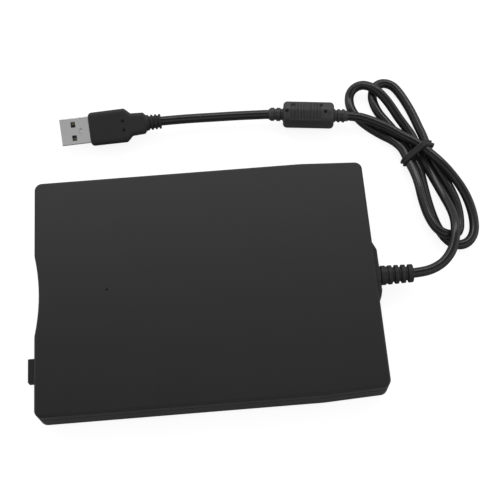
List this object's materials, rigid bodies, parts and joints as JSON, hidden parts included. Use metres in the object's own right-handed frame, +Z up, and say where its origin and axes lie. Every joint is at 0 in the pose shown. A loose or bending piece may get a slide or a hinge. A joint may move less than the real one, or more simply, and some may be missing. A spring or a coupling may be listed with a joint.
{
  "type": "external floppy disk drive",
  "caption": "Slim desktop drive that reads a 3.5 inch floppy disk through a front slot, with an eject button and a tied USB lead.",
  "frame": {"origin": "middle of the drive's footprint, on the table it stands on", "axes": "+X from the disk slot to the lead, +Y across the drive towards the plug, +Z up"},
  "size_m": [0.1965, 0.1511, 0.017],
  "materials": {
    "case_plastic": "fine matte texture, black",
    "foot_rubber": "matte black rubber",
    "screw_steel": "zinc plated",
    "sheet_steel": "zinc plated sheet",
    "shaft_steel": "ground steel",
    "lens_clear": "clear light pipe",
    "lamp_green": "green lamp body",
    "inner_plastic": "glass filled plastic",
    "head_ceramic": "polished ceramic",
    "motor_metal": "satin metal",
    "magnet": "dark sintered ferrite",
    "bronze": "sintered bronze",
    "copper": "enamelled copper wire",
    "board": "green solder mask",
    "chip": "black epoxy",
    "ribbon": "white film",
    "wire": "coloured insulation",
    "cord_jacket": "satin black PVC",
    "tie_wrap": "flat plastic-covered tie",
    "plug_metal": "nickel plated steel",
    "plug_insert": "black plastic",
    "contact_gold": "gold plated"
  },
  "bodies": {
    "case": {"top_cover": "case_plastic", "bottom_cover": "case_plastic", "rubber_feet": "foot_rubber", "case_screws": "screw_steel", "small_screws": "screw_steel", "front_bezel": "case_plastic", "flap_rod": "screw_steel", "flap_spring": "screw_steel", "led_lens": "lens_clear", "activity_led": "lamp_green", "chassis_pan": "sheet_steel", "shield_plate": "sheet_steel", "slider_spring": "screw_steel", "spindle_board": "board", "spindle_bearing": "bronze", "stator_core": "motor_metal", "stator_coils": "copper", "guide_shafts": "shaft_steel", "shaft_clamps": "inner_plastic", "screw_frame": "sheet_steel", "stepper_motor": "motor_metal", "drive_board": "board", "drive_controller": "chip", "ribbon_connectors": "inner_plastic", "ribbon_cable": "ribbon", "usb_board": "board", "usb_controller": "chip", "board_components": "chip", "sensor_board": "board", "sensor_switches": "inner_plastic", "cable_wires": "wire", "strain_relief": "cord_jacket", "cable_exit": "cord_jacket", "cable_hank": "cord_jacket", "cable_tie": "tie_wrap", "cable_link": "cord_jacket", "ferrite_cover": "cord_jacket", "ferrite_core": "magnet", "cable_to_plug": "cord_jacket", "plug_shell": "plug_metal", "plug_tongue": "plug_insert", "plug_contacts": "contact_gold", "plug_grip": "cord_jacket"},
    "slider": {"eject_slider": "sheet_steel", "eject_button": "case_plastic"},
    "holder": {"disk_holder": "sheet_steel"},
    "lever": {"shutter_lever": "sheet_steel"},
    "flap": {"door_flap": "case_plastic"},
    "rotor": {"spindle_rotor": "motor_metal", "rotor_magnet": "magnet", "spindle_hub": "shaft_steel"},
    "carriage": {"head_carriage": "inner_plastic", "lower_head": "head_ceramic", "arm_pin": "screw_steel"},
    "upper_arm": {"upper_head_arm": "inner_plastic", "upper_head": "head_ceramic"},
    "screw": {"lead_screw": "shaft_steel"},
    "write_guard": {"write_guard_plunger": "inner_plastic"},
    "density": {"density_plunger": "inner_plastic"},
    "disk_in": {"disk_in_plunger": "inner_plastic"}
  },
  "joints": [
    {"name": "eject_slide", "type": "slide", "parent": "case", "child": "slider", "axis": [-1, 0, 0], "range_m": [0, 0.0055], "deforming": ["slider_spring"]},
    {"name": "holder_drop", "type": "slide", "parent": "case", "child": "holder", "axis": [0, 0, -1], "range_m": [0, 0.0022]},
    {"name": "shutter_lever_swing", "type": "hinge", "parent": "holder", "child": "lever", "pos_m": [0.016, -0.036, 0.0136], "axis": [0, 0, -1], "range_deg": [0, 80], "stiffness_Nm_per_rad": 0.002},
    {"name": "flap_swing", "type": "hinge", "parent": "case", "child": "flap", "pos_m": [-0.067, 0, 0.0131], "axis": [0, -1, 0], "range_deg": [0, 80], "stiffness_Nm_per_rad": 0.0001},
    {"name": "spindle_turn", "type": "hinge", "parent": "case", "child": "rotor", "pos_m": [-0.02, 0, 0.006], "axis": [0, 0, 1], "continuous": true},
    {"name": "carriage_slide", "type": "slide", "parent": "case", "child": "carriage", "axis": [-1, 0, 0], "range_m": [0, 0.0148]},
    {"name": "upper_arm_tilt", "type": "hinge", "parent": "carriage", "child": "upper_arm", "pos_m": [0.044, 0, 0.0126], "axis": [0, -1, 0], "range_deg": [0, 9.5]},
    {"name": "lead_screw_turn", "type": "hinge", "parent": "case", "child": "screw", "pos_m": [0.0476, 0.02, 0.0076], "axis": [1, 0, 0], "range_deg": [0, 1776]},
    {"name": "write_guard_press", "type": "slide", "parent": "case", "child": "write_guard", "axis": [0, 0, -1], "range_m": [0, 0.001], "stiffness_N_per_m": 60},
    {"name": "density_press", "type": "slide", "parent": "case", "child": "density", "axis": [0, 0, -1], "range_m": [0, 0.001], "stiffness_N_per_m": 60},
    {"name": "disk_in_press", "type": "slide", "parent": "case", "child": "disk_in", "axis": [0, 0, -1], "range_m": [0, 0.001], "stiffness_N_per_m": 60}
  ],
  "couplings": [
    {"joint": "holder_drop", "follows": "eject_slide", "ratio": 0.4},
    {"joint": "upper_arm_tilt", "follows": "eject_slide", "rad_per_m": 30.144},
    {"joint": "lead_screw_turn", "follows": "carriage_slide", "rad_per_m": 2094.4}
  ]
}
